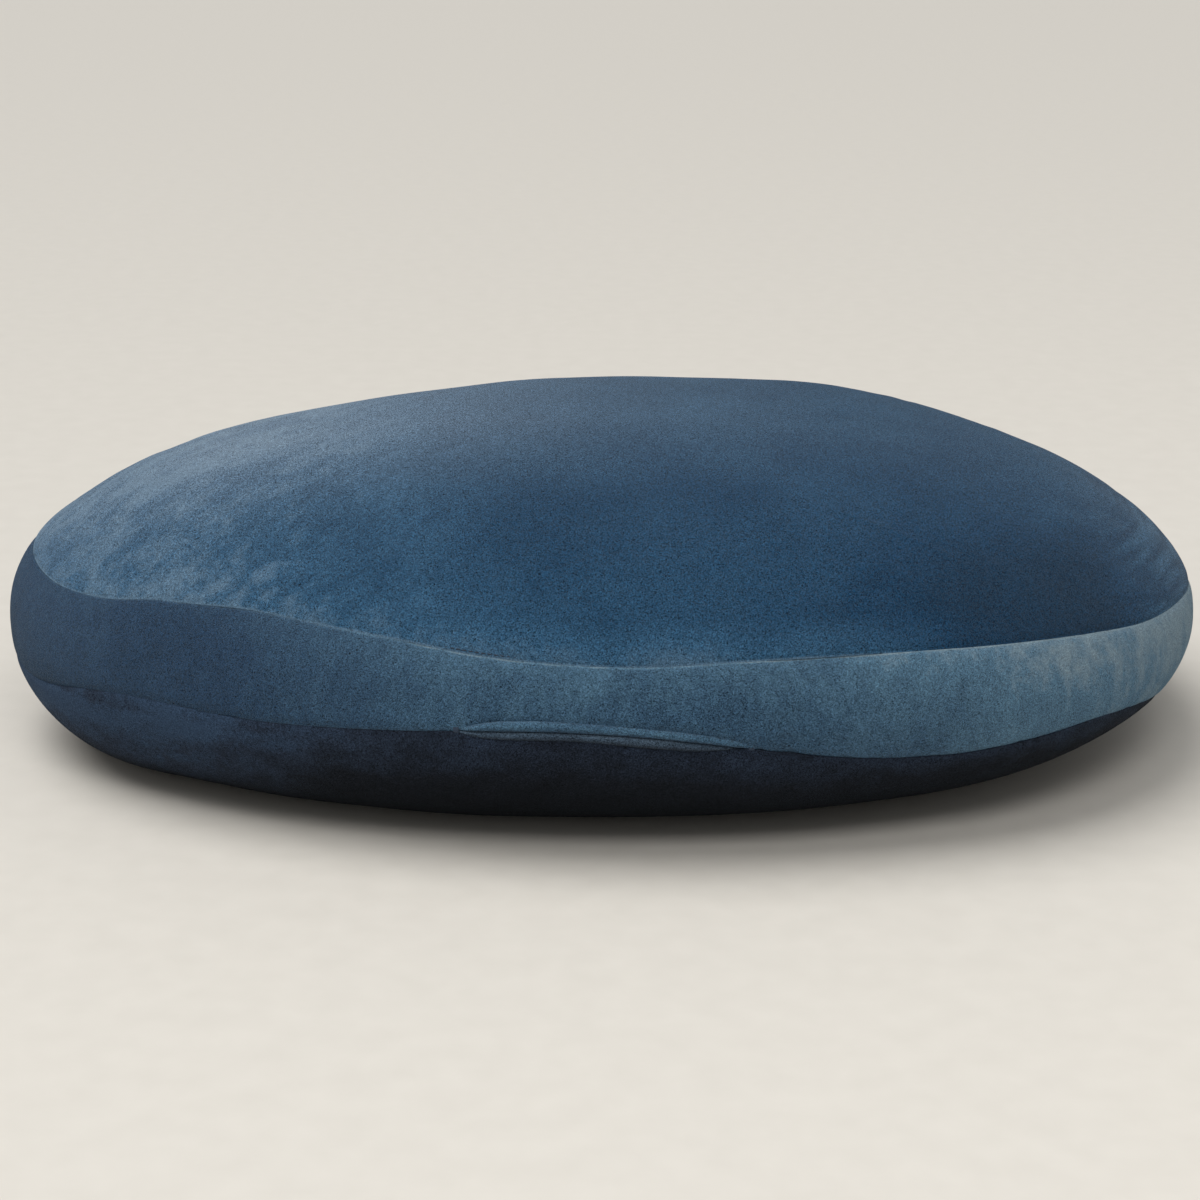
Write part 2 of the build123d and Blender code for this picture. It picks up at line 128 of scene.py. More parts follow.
def surface(turn, height):
    """Points of the cushion's surface for a plan direction and a height."""
    turn, height = np.broadcast_arrays(turn, height)
    outline = plan(turn)
    up = np.clip((height - WIDEST_LEVEL) / (HEIGHT - WIDEST_LEVEL), 0, 1)
    across = (1 - up**DOME_UP) ** (1 / DOME_ACROSS)
    dome = outline * across[..., None] + up[..., None] * APEX_SHIFT
    down = np.clip(1 - height / WIDEST_LEVEL, 0, 1)
    tuck = 1 - np.sqrt(np.maximum(1 - down**TUCK_POWER, 0))
    under = tucked_under(turn, outline, tuck)
    level = np.where((height >= WIDEST_LEVEL)[..., None], dome, under)
    return np.concatenate((level, height[..., None]), -1)


def even_outline():
    """Plan directions that space the outline's points evenly, starting at the back."""
    fine = np.linspace(math.pi / 2, math.pi / 2 + math.tau, OUTLINE_SAMPLES)
    steps = np.linalg.norm(np.diff(plan(fine), axis=0), axis=1)
    length = np.concatenate(((0,), np.cumsum(steps)))
    wanted = np.linspace(0, length[-1], AROUND, endpoint=False)
    return np.interp(wanted, length, fine)


TURN = even_outline()
RIM = plan(TURN)


def hump(value, middle, width):
    return np.exp(-(((value - middle) / width) ** 2))


def smooth(value):
    return value * value * (3 - 2 * value)


def through(keys, value, period=None):
    """A smooth curve through (place, value) keys, closed on itself if it has a period."""
    place, level = np.array(keys, float).T
    if period:
        value = np.asarray(value) % period
        place = np.concatenate((place[-2:] - period, place, place[:2] + period))
        level = np.concatenate((level[-2:], level, level[:2]))
    slope = np.gradient(level, place)
    value = np.clip(value, place[0], place[-1] - 1e-9)
    at = np.searchsorted(place, value, side="right") - 1
    width = place[at + 1] - place[at]
    s = (value - place[at]) / width
    start = (2 * s**3 - 3 * s**2 + 1) * level[at] + (s**3 - 2 * s**2 + s) * width * slope[at]
    end = (3 * s**2 - 2 * s**3) * level[at + 1] + (s**3 - s**2) * width * slope[at + 1]
    return start + end


# ---- seams: (heading in degrees, height in mm); 270 is the front, 0 the right end ----
TOP_SEAM = (
    (15, 73), (50, 80), (90, 83), (140, 82), (175, 84.5), (187, 87), (200, 87.4), (216, 86.9),
    (230, 88.8), (241, 92.6), (246, 93.6), (250, 92), (256, 89), (260, 86), (265, 83.7),
    (270, 82.9), (276, 84.3), (282, 84.7), (290, 83.9), (303, 82.1), (312, 79.8), (321, 77),
    (338, 74), (352, 70.5),
)
LOWER_SEAM = (
    (20, 38), (60, 42), (110, 43), (160, 42), (200, 43), (218, 46), (230, 51.5), (240, 53.7),
    (248, 52.6), (255, 55), (260, 57), (266, 57.9), (270.5, 56.2), (274.3, 52.8), (278, 48.4),
    (282, 44), (287, 41), (294, 41.3), (302, 42.6), (311, 43.7), (318, 41.9), (326, 38.4),
    (338, 32), (355, 32),
)


def top_seam_height(turn):
    return through(TOP_SEAM, np.degrees(turn), 360) * MM


def lower_seam_height(turn):
    return through(LOWER_SEAM, np.degrees(turn), 360) * MM


# ---- zip: a short opening in the lower seam, closed by two soft lips ----
lip_low, lip_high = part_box("zip_lip_upper")
ZIP_HALF = (lip_high.x - lip_low.x) / 2
ZIP_X = (lip_high.x + lip_low.x) / 2
# (distance from the zip's middle, height of the lip), both in mm
UPPER_LIP = (
    (-60, 0), (-57, 0.8), (-52, 2.1), (-45, 3.3), (-36, 3.7), (0, 3.6), (25, 3.3), (46, 3.0),
    (56, 1.9), (66, 0),
)
LOWER_LIP = (
    (-61, 0), (-57, 1.0), (-50, 2.2), (-41, 2.9), (-10, 3.0), (22, 3.9), (36, 3.3), (47, 1.7), (58, 0),
)
FAR_FROM_ZIP = 1.0


def zip_x(turn):
    """Distance along the front from the zip's middle, for plan directions; far off behind."""
    x = plan(turn)[..., 0]
    return np.where(np.sin(turn) < 0, x - ZIP_X, FAR_FROM_ZIP)


def lip_height(along, side):
    """Height of the upper (1) or lower (-1) lip, 0 past the ends of the zip."""
    keys = UPPER_LIP if side > 0 else LOWER_LIP
    return np.maximum(through(keys, along / MM), 0) * MM


def opened_seam(turn, side):
    """Height of the lower seam's edge above (1) or below (-1) the zip."""
    return lower_seam_height(turn) + side * lip_height(zip_x(turn), side)


# ---- height rows of each panel, as points on the cushion's surface ----
def crowded(count, both_ends=False):
    """Steps from 0 to 1, closer together at the seam, or at both seams of the band."""
    t = np.linspace(0, 1, count)
    return EVEN_SHARE * t + (1 - EVEN_SHARE) * smooth(t) if both_ends else t**CROWDING


def top_grid():
    seam = top_seam_height(TURN)
    start = np.arcsin((seam - WIDEST_LEVEL) / (HEIGHT - WIDEST_LEVEL))
    steps = crowded(TOP_ROWS)[:, None]
    angle = start * (1 - steps) + math.pi / 2 * steps
    heights = WIDEST_LEVEL + (HEIGHT - WIDEST_LEVEL) * np.sin(angle)
    return surface(TURN[None, :], heights)


def band_grid():
    low = opened_seam(TURN, 1)
    high = top_seam_height(TURN)
    steps = crowded(BAND_ROWS, both_ends=True)[:, None]
    return surface(TURN[None, :], low * (1 - steps) + high * steps)


def bottom_grid():
    seam = opened_seam(TURN, -1)
    start = np.arcsin(1 - seam / WIDEST_LEVEL)
    steps = crowded(BOTTOM_ROWS)[:, None]
    angle = start * (1 - steps) + math.pi / 2 * steps
    heights = WIDEST_LEVEL * (1 - np.sin(angle))
    side = surface(TURN[None, :], heights)
    inward = np.linspace(1, 0, FLOOR_ROWS + 1)[1:, None, None]
    centre = np.array((*FLOOR_SHIFT, 0.0))
    patch = centre + (side[-1][None] - centre) * inward
    return np.concatenate((side, patch))


# ---- unevenness ----
def waves(points, seed, size, height, count=10):
    """A smooth random field of that height, made of a few plane waves of about the given size."""
    random = np.random.default_rng(seed)
    field = np.zeros(points.shape[:-1])
    for _ in range(count):
        direction = random.normal(size=3)
        direction *= math.tau / size * random.uniform(0.6, 1.4) / np.linalg.norm(direction)
        field += np.sin(points @ direction + random.uniform(0, math.tau))
    return height * field / math.sqrt(count)


def grid_normals(grid):
    """Outward normals of a grid of rows going up and columns going round."""
    around = np.roll(grid, -1, axis=1) - np.roll(grid, 1, axis=1)
    upward = np.gradient(grid, axis=0)
    normal = np.cross(around, upward)
    length = np.linalg.norm(normal, axis=-1, keepdims=True)
    return normal / np.maximum(length, 1e-12)


def distance_from(grid, row):
    """Distance of every point from the grid's first (0) or last (-1) row, along its column."""
    steps = np.linalg.norm(np.diff(grid, axis=0), axis=-1)
    total = np.concatenate((np.zeros((1, grid.shape[1])), np.cumsum(steps, axis=0)))
    return total if row == 0 else total[-1] - total


def tuck_in(distance, depth, width):
    """How far the cloth dips where it is drawn into a seam."""
    return -depth * np.exp(-((distance / width) ** 1.5))


def puckers(distance, seed, reach, depth, count=60):
    """Short creases that run away from a seam, unevenly spaced and unevenly deep."""
    random = np.random.default_rng(seed)
    total = np.zeros(distance.shape)
    for _ in range(count):
        place = random.uniform(0, math.tau)
        width = random.uniform(0.005, 0.014)
        strength = random.uniform(0.15, 1.0) ** 2
        slant = random.uniform(-1.2, 1.2)
        gap = (TURN[None, :] - place + slant * distance + math.pi) % math.tau - math.pi
        total -= strength * hump(gap, 0, width) * np.exp(-distance / reach)
    return depth * total


# ---- meshes ----
def mesh_object(name, vertices, faces, soft=True, **measures):
    """A mesh in the scene. Each measure becomes an attribute that its material can read."""
    mesh = bpy.data.meshes.new(name)
    mesh.from_pydata(np.asarray(vertices).tolist(), [], faces)
    mesh.update()
    mesh.polygons.foreach_set("use_smooth", [soft] * len(mesh.polygons))
    for measure, values in measures.items():
        layer = mesh.attributes.new(measure, "FLOAT", "POINT")
        layer.data.foreach_set("value", np.asarray(values, np.float32).ravel())
    piece = bpy.data.objects.new(name, mesh)
    bpy.context.scene.collection.objects.link(piece)
    return piece


def quads(rows, columns, first=0):
    """Faces of a grid that closes round on itself, facing out if its rows go up."""
    number = first + np.arange(rows * columns).reshape(rows, columns)
    after = np.roll(number, -1, axis=1)
    return np.stack((number[:-1], after[:-1], after[1:], number[1:]), -1).reshape(-1, 4).tolist()


def bridge(outer, inner):
    """Faces between two closed rings of vertex numbers."""
    outer_next, inner_next = outer[1:] + outer[:1], inner[1:] + inner[:1]
    return list(zip(outer, inner, inner_next, outer_next))


def fan(ring, pole):
    return [(ring[n], ring[(n + 1) % len(ring)], pole) for n in range(len(ring))]


def closed_shell(name, grid, pole, **measures):
    """A closed shell of cloth: the grid outside and its copy one cloth thickness inside.

    With pole, the last row has shrunk to a point."""
    normal = grid_normals(grid)
    if pole:
        normal[-1] = normal[-2].mean(axis=0) / np.linalg.norm(normal[-2].mean(axis=0))
    inner = grid - normal * CLOTH
    columns = grid.shape[1]
    rows = grid.shape[0] - 1 if pole else grid.shape[0]
    size = rows * columns
    vertices = [grid[:rows].reshape(-1, 3), inner[:rows].reshape(-1, 3)]
    faces = quads(rows, columns) + [face[::-1] for face in quads(rows, columns, size)]
    first = list(range(columns))
    faces += bridge(first, [size + n for n in first])
    last = [size - columns + n for n in range(columns)]
    if pole:
        vertices.append(np.array((grid[-1].mean(axis=0), inner[-1].mean(axis=0))))
        faces += fan(last, 2 * size) + [face[::-1] for face in fan([size + n for n in last], 2 * size + 1)]
    else:
        faces += [face[::-1] for face in bridge(last, [size + n for n in last])]
    spread = {}
    for measure, values in measures.items():
        flat = values[:rows].ravel()
        spread[measure] = np.concatenate((flat, flat, values[-1, :2] if pole else ()))
    return mesh_object(name, np.concatenate(vertices), faces, **spread)


def tube(grid):
    """Vertices and faces of a closed tube: each row is a ring, and the ends are capped."""
    rows, ring = grid.shape[:2]
    ends = [tuple(range(ring))[::-1], tuple(range((rows - 1) * ring, rows * ring))]
    return grid.reshape(-1, 3), quads(rows, ring) + ends


def joined(name, tubes):
    """One mesh made of many closed tubes."""
    vertices, faces = [], []
    for points, sides in tubes:
        start = sum(len(part) for part in vertices)
        vertices.append(points)
        faces += [tuple(start + n for n in side) for side in sides]
    return mesh_object(name, np.concatenate(vertices), faces)


# ---- cloth simulation of the whole filled cover, to find where it swells and slackens ----
PROXY_VOXEL = 6 * MM
CLOTH_FRAMES = 20
SWELL_LIMIT = 2.2 * MM
SEAM_HOLD_WIDTH = 6 * MM
FLOOR_HOLD_HEIGHT = 5 * MM
SEAM_HOLD = 0.9
SEAMS_BELOW = 0.7  # of the height: the crown is never held
ROW_STEP, COLUMN_STEP = 2, 4  # the swell is looked up at every so many rows and columns
NEAREST = 8
NEAR_BLUR = 2 * MM


def cover_proxy():
    """One closed mesh of the whole cushion, evenly meshed, for the simulation."""
    rows = np.concatenate((bottom_grid()[::-2], band_grid()[1:-1:3], top_grid()[::2]))[:, ::6]
    proxy = mesh_object("cover_proxy", *tube(rows))
    remesh = proxy.modifiers.new("remesh", "REMESH")
    remesh.mode = "VOXEL"
    remesh.voxel_size = PROXY_VOXEL
    depsgraph = bpy.context.evaluated_depsgraph_get()
    even = bpy.data.meshes.new_from_object(proxy.evaluated_get(depsgraph))
    proxy.modifiers.clear()
    proxy.data = even
    return proxy


def mesh_points(mesh):
    flat = np.zeros(len(mesh.vertices) * 3)
    mesh.vertices.foreach_get("co", flat)
    return flat.reshape(-1, 3)


def held_weight(points):
    """How firmly each point of the proxy is held: fully on the floor, firmly at the seams."""
    turn = np.arctan2(points[:, 1], points[:, 0])
    top = hump(points[:, 2], top_seam_height(turn), SEAM_HOLD_WIDTH)
    low = hump(points[:, 2], lower_seam_height(turn), SEAM_HOLD_WIDTH)
    side = points[:, 2] < HEIGHT * SEAMS_BELOW
    on_floor = np.clip(1 - points[:, 2] / FLOOR_HOLD_HEIGHT, 0, 1)
    return np.maximum(SEAM_HOLD * np.maximum(top, low) * side, on_floor)


def simulate_cover():
    """Inflates the proxy with Cloth and returns its rest points and how far each one moved."""
    proxy = cover_proxy()
    rest = mesh_points(proxy.data)
    group = proxy.vertex_groups.new(name="held")
    for index, weight in enumerate(held_weight(rest)):
        if weight > 0.01:
            group.add([index], float(weight), "REPLACE")
    cloth = proxy.modifiers.new("cloth", "CLOTH")
    cloth.settings.quality = 5
    cloth.settings.mass = 0.3
    cloth.settings.tension_stiffness = 15
    cloth.settings.compression_stiffness = 15
    cloth.settings.bending_stiffness = 0.5
    cloth.settings.use_pressure = True
    cloth.settings.uniform_pressure_force = 4
    cloth.settings.vertex_group_mass = "held"
    cloth.settings.effector_weights.gravity = 0
    cloth.collision_settings.use_collision = False
    cloth.point_cache.frame_start = 1
    cloth.point_cache.frame_end = CLOTH_FRAMES
    for number in range(1, CLOTH_FRAMES + 1):
        bpy.context.scene.frame_set(number)
    depsgraph = bpy.context.evaluated_depsgraph_get()
    moved = mesh_points(proxy.evaluated_get(depsgraph).data)
    bpy.context.scene.frame_set(1)
    bpy.data.objects.remove(proxy)
    shift = moved - rest
    size = np.maximum(np.linalg.norm(shift, axis=1, keepdims=True), 1e-9)
    return rest, shift / size * SWELL_LIMIT * np.tanh(size / SWELL_LIMIT)


def swell_field():
    """A function that gives the simulated swell at any grid of points on the cover."""
    rest, shift = simulate_cover()
    tree = kdtree.KDTree(len(rest))
    for index, point in enumerate(rest):
        tree.insert(point, index)
    tree.balance()

    def swell(grid):
        coarse = grid[::ROW_STEP, ::COLUMN_STEP]
        moved = np.zeros(coarse.shape)
        for row, column in np.ndindex(coarse.shape[:2]):
            near = tree.find_n(coarse[row, column], NEAREST)
            weight = np.array([1 / (found[2] + NEAR_BLUR) for found in near])
            moved[row, column] = weight @ shift[[found[1] for found in near]] / weight.sum()
        return spread_over(moved, grid.shape[0], grid.shape[1])

    return swell


def spread_over(coarse, rows, columns):
    """Stretches a field known at every few rows and columns over a whole grid."""
    closed = np.concatenate((coarse, coarse[:, :1]), axis=1)
    row_place = np.minimum(np.arange(rows) / ROW_STEP, coarse.shape[0] - 1)
    row_base = np.minimum(row_place.astype(int), coarse.shape[0] - 2)
    down = (row_place - row_base)[:, None, None]
    by_row = closed[row_base] * (1 - down) + closed[row_base + 1] * down
    column_place = np.arange(columns) / COLUMN_STEP
    column_base = column_place.astype(int)
    along = (column_place - column_base)[None, :, None]
    return by_row[:, column_base] * (1 - along) + by_row[:, column_base + 1] * along


SWELL = swell_field()


def shaped(grid, detail):
    """Adds the simulated swell and a panel's own detail, and keeps the base on the floor."""
    normal = grid_normals(grid)
    free = np.clip(grid[..., 2] / FLOOR_HOLD_HEIGHT, 0, 1)
    if SWELL is not None:
        grid = grid + SWELL(grid) * free[..., None]
    grid = grid + normal * (detail * free)[..., None]
    grid[..., 2] = np.maximum(grid[..., 2], 0)
    return grid


# ---- cover panels ----
SEAM_DEPTH = 0.55 * MM
SEAM_WIDTH = 1.6 * MM
CALM_RIM = 50 * MM  # the top's broad waves fade out this near the seam
CLOSING_SEAM_X = (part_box("band_closing_thread")[0].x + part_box("band_closing_thread")[1].x) / 2


def top_panel():
    grid = top_grid()
    inland = distance_from(grid, 0)
    detail = tuck_in(inland, SEAM_DEPTH, SEAM_WIDTH)
    detail += puckers(inland, seed=3, reach=14 * MM, depth=0.40 * MM)
    detail += waves(grid, seed=11, size=0.15, height=0.6 * MM) * np.clip(inland / CALM_RIM, 0, 1)
    detail += waves(grid, seed=12, size=0.05, height=0.12 * MM)
    detail += long_crease(grid)
    grid = shaped(grid, detail)
    grid[-1] = grid[-1].mean(axis=0)
    return closed_shell("top_panel", grid, True, inland=inland)


CREASE_START, CREASE_END = np.array((0.085, -0.108)), np.array((0.160, -0.140))
CREASE_HEIGHT, CREASE_WIDTH = 0.35 * MM, 1.6 * MM


def long_crease(grid):
    """A faint straight crease on the right of the top, left by folding."""
    run = CREASE_END - CREASE_START
    length = np.linalg.norm(run)
    along = run / length
    offset = grid[..., :2] - CREASE_START
    reach = offset @ along / length
    aside = offset @ np.array((-along[1], along[0]))
    return CREASE_HEIGHT * hump(aside, 0, CREASE_WIDTH) * hump(reach, 0.5, 0.5)


def band():
    grid = band_grid()
    below = distance_from(grid, 0)
    above = distance_from(grid, -1)
    detail = tuck_in(above, SEAM_DEPTH, SEAM_WIDTH) + tuck_in(below, SEAM_DEPTH, SEAM_WIDTH)
    detail += puckers(above, seed=5, reach=10 * MM, depth=0.35 * MM)
    detail += puckers(below, seed=6, reach=10 * MM, depth=0.40 * MM)
    detail += zip_pull(below)
    detail += waves(grid, seed=13, size=0.07, height=0.22 * MM)
    at_back = (np.sin(TURN) > 0)[None, :]
    from_closing = np.abs(grid[..., 0] - CLOSING_SEAM_X)
    detail += tuck_in(from_closing, depth=0.8 * MM, width=2.0 * MM) * at_back
    return closed_shell("side_band", shaped(grid, detail), False, inland=above, below=below)


# (place along the zip, width, depth), all in mm
DRAGS = ((-62, 6, 0.5), (-41, 3, 0.6), (-24, 5, 0.4), (30, 6, 0.5), (74, 7, 0.6))
DRAG_SLANT = 0.2
DRAG_REACH = 22 * MM


def zip_pull(below):
    """Soft upright drags above the zip, and a swell that hangs over the right of its upper lip."""
    along = zip_x(TURN)[None, :]
    total = np.zeros(below.shape)
    for place, width, depth in np.array(DRAGS) * MM:
        total -= depth * hump(along - DRAG_SLANT * below, place, width) * np.exp(-below / DRAG_REACH)
    overhang = hump(along, 30 * MM, 24 * MM) * hump(below, 3.5 * MM, 3.5 * MM)
    return total + 0.8 * MM * overhang


def bottom_panel():
    grid = bottom_grid()
    inland = distance_from(grid, 0)
    detail = tuck_in(inland, SEAM_DEPTH, SEAM_WIDTH)
    detail += puckers(inland, seed=8, reach=14 * MM, depth=0.45 * MM)
    detail += waves(grid, seed=14, size=0.09, height=0.35 * MM)
    # its rows run down, so they are turned over for outward normals
    grid = shaped(grid[::-1], detail[::-1])[::-1]
    grid[-1] = grid[-1].mean(axis=0)
    return closed_shell("bottom_panel", grid[:, ::-1], True, inland=inland[:, ::-1])


# ---- zip lips ----
LIP_RING = 24
LIP_STEPS = 170
LIP_DEPTH = 2.0 * MM
LIP_PROUD = {1: 1.1 * MM, -1: 0.5 * MM}
SLIT = 0.15 * MM
LIP_OVERLAP = 0.5 * MM
LIP_THINNEST = 0.3 * MM
FULL_LIP = 2.6 * MM  # a lip at least this high is full depth
RIPPLES = ((0.07 * MM, 450), (0.05 * MM, 1050))  # height, and radians to the metre


def front_turn(along):
    """Plan direction of a place along the zip."""
    return -np.arccos((along + ZIP_X - FRONT_CENTRE[0]) / FRONT_SIDE_RADIUS)


def lip(name, side):
    """A soft roll of folded velour along one side of the slit."""
    keys = UPPER_LIP if side > 0 else LOWER_LIP
    along = np.linspace(keys[0][0], keys[-1][0], LIP_STEPS) * MM
    turn = front_turn(along)
    height = np.maximum(lip_height(along, side), LIP_THINNEST)
    fullness = np.minimum(height / FULL_LIP, 1)
    middle = lower_seam_height(turn) + side * (height + LIP_OVERLAP + SLIT) / 2
    base = surface(turn, middle)
    outward = np.stack((np.cos(turn), np.sin(turn), np.zeros(LIP_STEPS)), -1)
    (long_height, long_rate), (short_height, short_rate) = RIPPLES
    ripple = long_height * np.sin(along * long_rate + side) + short_height * np.sin(along * short_rate)
    grid = np.zeros((LIP_STEPS, LIP_RING, 3))
    rise = np.zeros((LIP_STEPS, LIP_RING))
    for step in range(LIP_RING):
        angle = math.tau * step / LIP_RING
        across, upward = math.cos(angle), math.sin(angle)
        depth = LIP_PROUD[side] * fullness - LIP_DEPTH + (LIP_DEPTH + ripple) * across * fullness
        grid[:, step] = base + outward * depth[:, None]
        grid[:, step, 2] += upward * (height + LIP_OVERLAP) / 2
        rise[:, step] = upward
    return mesh_object(name, *tube(grid), rise=rise)


# ---- stitches ----
STITCH_PITCH = 2.6 * MM
STITCH_RADIUS = 0.26 * MM
STITCH_PROFILE = ((-0.40, 0.3), (-0.34, 0.8), (-0.18, 1.0), (0.0, 1.0), (0.18, 1.0), (0.34, 0.8), (0.40, 0.3))
STITCH_RING = 6
STITCH_DIP = 0.3 * MM
NUDGE = 0.1 * MM  # half the stretch that a stitch's direction is taken over


def stitch(path, outward, pitch):
    """One lockstitch along a path: a thread that dips into the cloth at both ends."""
    rings = []
    for place, thickness in STITCH_PROFILE:
        point = path(place * pitch) - outward * STITCH_DIP * (place / STITCH_PROFILE[-1][0]) ** 2
        forward = path(place * pitch + NUDGE) - path(place * pitch - NUDGE)
        sideways = np.cross(outward, forward / np.linalg.norm(forward))
        angles = math.tau * np.arange(STITCH_RING) / STITCH_RING
        ring = np.cos(angles)[:, None] * outward + np.sin(angles)[:, None] * sideways
        rings.append(point + ring * STITCH_RADIUS * thickness)
    return tube(np.array(rings))


def seam_stitches(name, seam_height, above, sink):
    """Lockstitches all along a seam, that far above it, sunk in the cloth by sink(heading)."""
    line = surface(TURN, seam_height(TURN) + above)
    closed = np.concatenate((line, line[:1]))
    turns = np.append(TURN, TURN[0] + math.tau)
    length = np.concatenate(((0,), np.cumsum(np.linalg.norm(np.diff(closed, axis=0), axis=1))))
    count = int(length[-1] / STITCH_PITCH)
    tubes = []
    for number in range(count):
        middle = (number + 0.5) * length[-1] / count
        turn = np.interp(middle, length, turns)
        depth = sink(turn % math.tau)
        if depth is None:
            continue
        outward = np.array((math.cos(turn), math.sin(turn), 0.0))

        def path(step):
            on_seam = [np.interp(middle + step, length, closed[:, n]) for n in range(3)]
            return np.array(on_seam) - outward * depth

        tubes.append(stitch(path, outward, STITCH_PITCH))
    return joined(name, tubes)


HIDDEN_DEPTH, BARE_DEPTH = 1.5 * MM, 0.25 * MM
CLOSING_DEPTH, CLOSING_MARGIN = 0.9 * MM, 2 * MM
STITCHES_TO_ZIP = 6 * MM
BARE_STRETCHES = ((4.55, 0.075), (1.9, 0.10), (2.7, 0.07), (0.35, 0.09))  # heading, half width, radians


def top_stitch_sink(turn):
    """The pile hides the stitches, apart from a few stretches where the seam is drawn open."""
    bare = max(hump(turn, middle, width) for middle, width in BARE_STRETCHES)
    return HIDDEN_DEPTH * (1 - bare) + BARE_DEPTH * bare


def lower_stitch_sink(turn):
    beside_zip = abs(zip_x(np.array([turn]))[0]) < ZIP_HALF + STITCHES_TO_ZIP
    return None if beside_zip else HIDDEN_DEPTH


def closing_stitches():
    """The upright line of stitches where the band's two ends meet, at the back."""
    outward = np.array((0.0, 1.0, 0.0))
    turn = TURN[np.argmin(np.abs(RIM[:, 0] - CLOSING_SEAM_X) + (RIM[:, 1] < 0))]
    low = lower_seam_height(turn) + CLOSING_MARGIN
    high = top_seam_height(turn) - CLOSING_MARGIN
    tubes = []
    for height in np.arange(low, high, STITCH_PITCH):

        def path(step):
            return surface(np.array(turn), np.array(height + step)) - outward * CLOSING_DEPTH

        tubes.append(stitch(path, outward, STITCH_PITCH))
    return joined("closing_stitches", tubes)


BARTACK_HALF = 1.9 * MM
BARTACK_BARS = 6
BARTACK_BAR_GAP = 0.36 * MM
BARTACK_GAP, BARTACK_RISE, BARTACK_DEPTH = 0.4 * MM, 0.3 * MM, 0.7 * MM


def bartack(name, side):
    """A bar of close satin stitches that ends the zip's opening, sunk in the pile."""
    tubes = []
    for bar in range(BARTACK_BARS):
        along = side * (ZIP_HALF + BARTACK_GAP + bar * BARTACK_BAR_GAP)
        turn = float(front_turn(np.array(along)))
        outward = np.array((math.cos(turn), math.sin(turn), 0.0))
        middle = lower_seam_height(np.array(turn)) + BARTACK_RISE

        def path(step):
            return surface(np.array(turn), middle + step) - outward * BARTACK_DEPTH

        tubes.append(stitch(path, outward, 2 * BARTACK_HALF))
    return joined(name, tubes)


# ---- materials ----
TOP_LEVEL = 4.0


